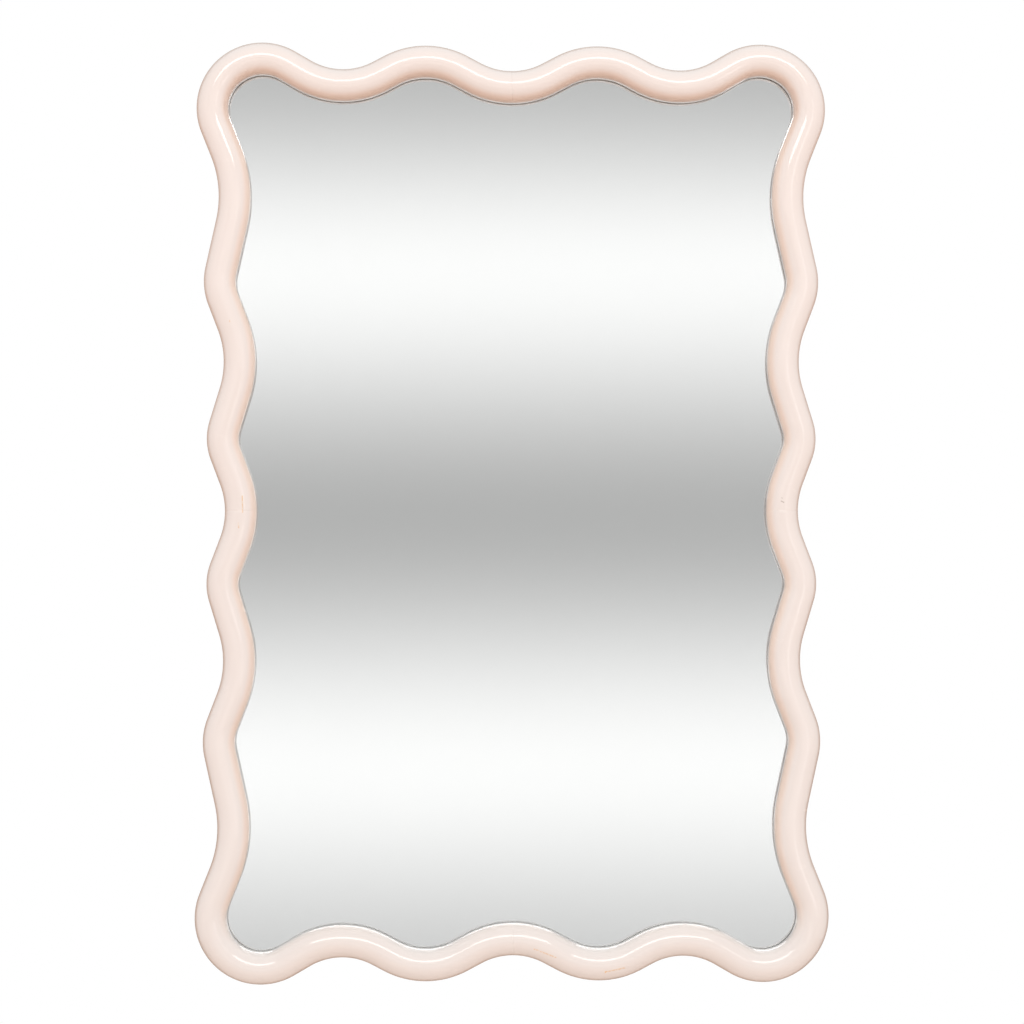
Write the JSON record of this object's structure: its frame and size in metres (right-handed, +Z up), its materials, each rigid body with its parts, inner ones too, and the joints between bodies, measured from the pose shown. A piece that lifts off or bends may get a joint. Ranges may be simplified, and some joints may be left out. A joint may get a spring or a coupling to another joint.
{
  "type": "wall mirror",
  "caption": "Wall mirror in a wavy, round-fronted lacquered frame; the glass and its backing board are held in a rebate by turn buttons, and loose D-rings hang it upright or lengthwise.",
  "frame": {"origin": "on the wall plane, behind the middle of the mirror", "axes": "+Z up as hung upright, +X to the right as seen from the front, +Y towards the wall, so the glass faces -Y"},
  "size_m": [0.614, 0.035, 0.914],
  "materials": {
    "lacquered_frame": "gloss",
    "dowel_beech": "matte",
    "mirror_glass": "polished",
    "mirror_silvering": "polished",
    "corrugated_card": "matte",
    "hardboard": "matte",
    "zinc_steel": "satin",
    "bumper_rubber": "matte"
  },
  "bodies": {
    "mirror": {"frame_top_right": "lacquered_frame", "frame_top_left": "lacquered_frame", "frame_bottom_right": "lacquered_frame", "frame_bottom_left": "lacquered_frame", "dowels_right": "dowel_beech", "dowels_left": "dowel_beech", "dowels_top": "dowel_beech", "dowels_bottom": "dowel_beech", "mirror_glass": "mirror_glass", "mirror_silvering": "mirror_silvering", "spacer_card": "corrugated_card", "backing_board": "hardboard", "turn_button_screws": "zinc_steel", "hanger_strap_right": "zinc_steel", "hanger_strap_left": "zinc_steel", "hanger_strap_top": "zinc_steel", "hanger_strap_bottom": "zinc_steel", "hanger_screws": "zinc_steel", "bumper_top_right": "bumper_rubber", "bumper_bottom_right": "bumper_rubber", "bumper_bottom_left": "bumper_rubber", "bumper_top_left": "bumper_rubber"},
    "turn_button_01": {"turn_button_01": "zinc_steel"},
    "turn_button_02": {"turn_button_02": "zinc_steel"},
    "turn_button_03": {"turn_button_03": "zinc_steel"},
    "turn_button_04": {"turn_button_04": "zinc_steel"},
    "turn_button_05": {"turn_button_05": "zinc_steel"},
    "turn_button_06": {"turn_button_06": "zinc_steel"},
    "turn_button_07": {"turn_button_07": "zinc_steel"},
    "turn_button_08": {"turn_button_08": "zinc_steel"},
    "turn_button_09": {"turn_button_09": "zinc_steel"},
    "turn_button_10": {"turn_button_10": "zinc_steel"},
    "turn_button_11": {"turn_button_11": "zinc_steel"},
    "turn_button_12": {"turn_button_12": "zinc_steel"},
    "hanger_ring_right": {"hanger_ring_right": "zinc_steel"},
    "hanger_ring_left": {"hanger_ring_left": "zinc_steel"},
    "hanger_ring_top": {"hanger_ring_top": "zinc_steel"},
    "hanger_ring_bottom": {"hanger_ring_bottom": "zinc_steel"}
  },
  "joints": [
    {"name": "turn_button_01_swivel", "type": "hinge", "parent": "mirror", "child": "turn_button_01", "pos_m": [0.0838, -0.006, 0.43912], "axis": [0, 1, 0], "continuous": true},
    {"name": "turn_button_02_swivel", "type": "hinge", "parent": "mirror", "child": "turn_button_02", "pos_m": [0.28407, -0.006, 0.2238], "axis": [0, 1, 0], "continuous": true},
    {"name": "turn_button_03_swivel", "type": "hinge", "parent": "mirror", "child": "turn_button_03", "pos_m": [0.28086, -0.006, 0.0706], "axis": [0, 1, 0], "continuous": true},
    {"name": "turn_button_04_swivel", "type": "hinge", "parent": "mirror", "child": "turn_button_04", "pos_m": [0.28086, -0.006, -0.0706], "axis": [0, 1, 0], "continuous": true},
    {"name": "turn_button_05_swivel", "type": "hinge", "parent": "mirror", "child": "turn_button_05", "pos_m": [0.28407, -0.006, -0.2238], "axis": [0, 1, 0], "continuous": true},
    {"name": "turn_button_06_swivel", "type": "hinge", "parent": "mirror", "child": "turn_button_06", "pos_m": [0.0838, -0.006, -0.43912], "axis": [0, 1, 0], "continuous": true},
    {"name": "turn_button_07_swivel", "type": "hinge", "parent": "mirror", "child": "turn_button_07", "pos_m": [-0.0838, -0.006, -0.43912], "axis": [0, 1, 0], "continuous": true},
    {"name": "turn_button_08_swivel", "type": "hinge", "parent": "mirror", "child": "turn_button_08", "pos_m": [-0.28407, -0.006, -0.2238], "axis": [0, 1, 0], "continuous": true},
    {"name": "turn_button_09_swivel", "type": "hinge", "parent": "mirror", "child": "turn_button_09", "pos_m": [-0.28086, -0.006, -0.0706], "axis": [0, 1, 0], "continuous": true},
    {"name": "turn_button_10_swivel", "type": "hinge", "parent": "mirror", "child": "turn_button_10", "pos_m": [-0.28086, -0.006, 0.0706], "axis": [0, 1, 0], "continuous": true},
    {"name": "turn_button_11_swivel", "type": "hinge", "parent": "mirror", "child": "turn_button_11", "pos_m": [-0.28407, -0.006, 0.2238], "axis": [0, 1, 0], "continuous": true},
    {"name": "turn_button_12_swivel", "type": "hinge", "parent": "mirror", "child": "turn_button_12", "pos_m": [-0.0838, -0.006, 0.43912], "axis": [0, 1, 0], "continuous": true},
    {"name": "hanger_ring_right_swing", "type": "hinge", "parent": "mirror", "child": "hanger_ring_right", "pos_m": [0.27389, -0.00367, 0.31603], "axis": [-1, 0, 0], "range_deg": [0, 175]},
    {"name": "hanger_ring_left_swing", "type": "hinge", "parent": "mirror", "child": "hanger_ring_left", "pos_m": [-0.27389, -0.00367, 0.31603], "axis": [-1, 0, 0], "range_deg": [0, 175]},
    {"name": "hanger_ring_top_swing", "type": "hinge", "parent": "mirror", "child": "hanger_ring_top", "pos_m": [0.17442, -0.00367, 0.41974], "axis": [0, 0, 1], "range_deg": [0, 175]},
    {"name": "hanger_ring_bottom_swing", "type": "hinge", "parent": "mirror", "child": "hanger_ring_bottom", "pos_m": [0.17442, -0.00367, -0.41974], "axis": [0, 0, 1], "range_deg": [0, 175]}
  ]
}
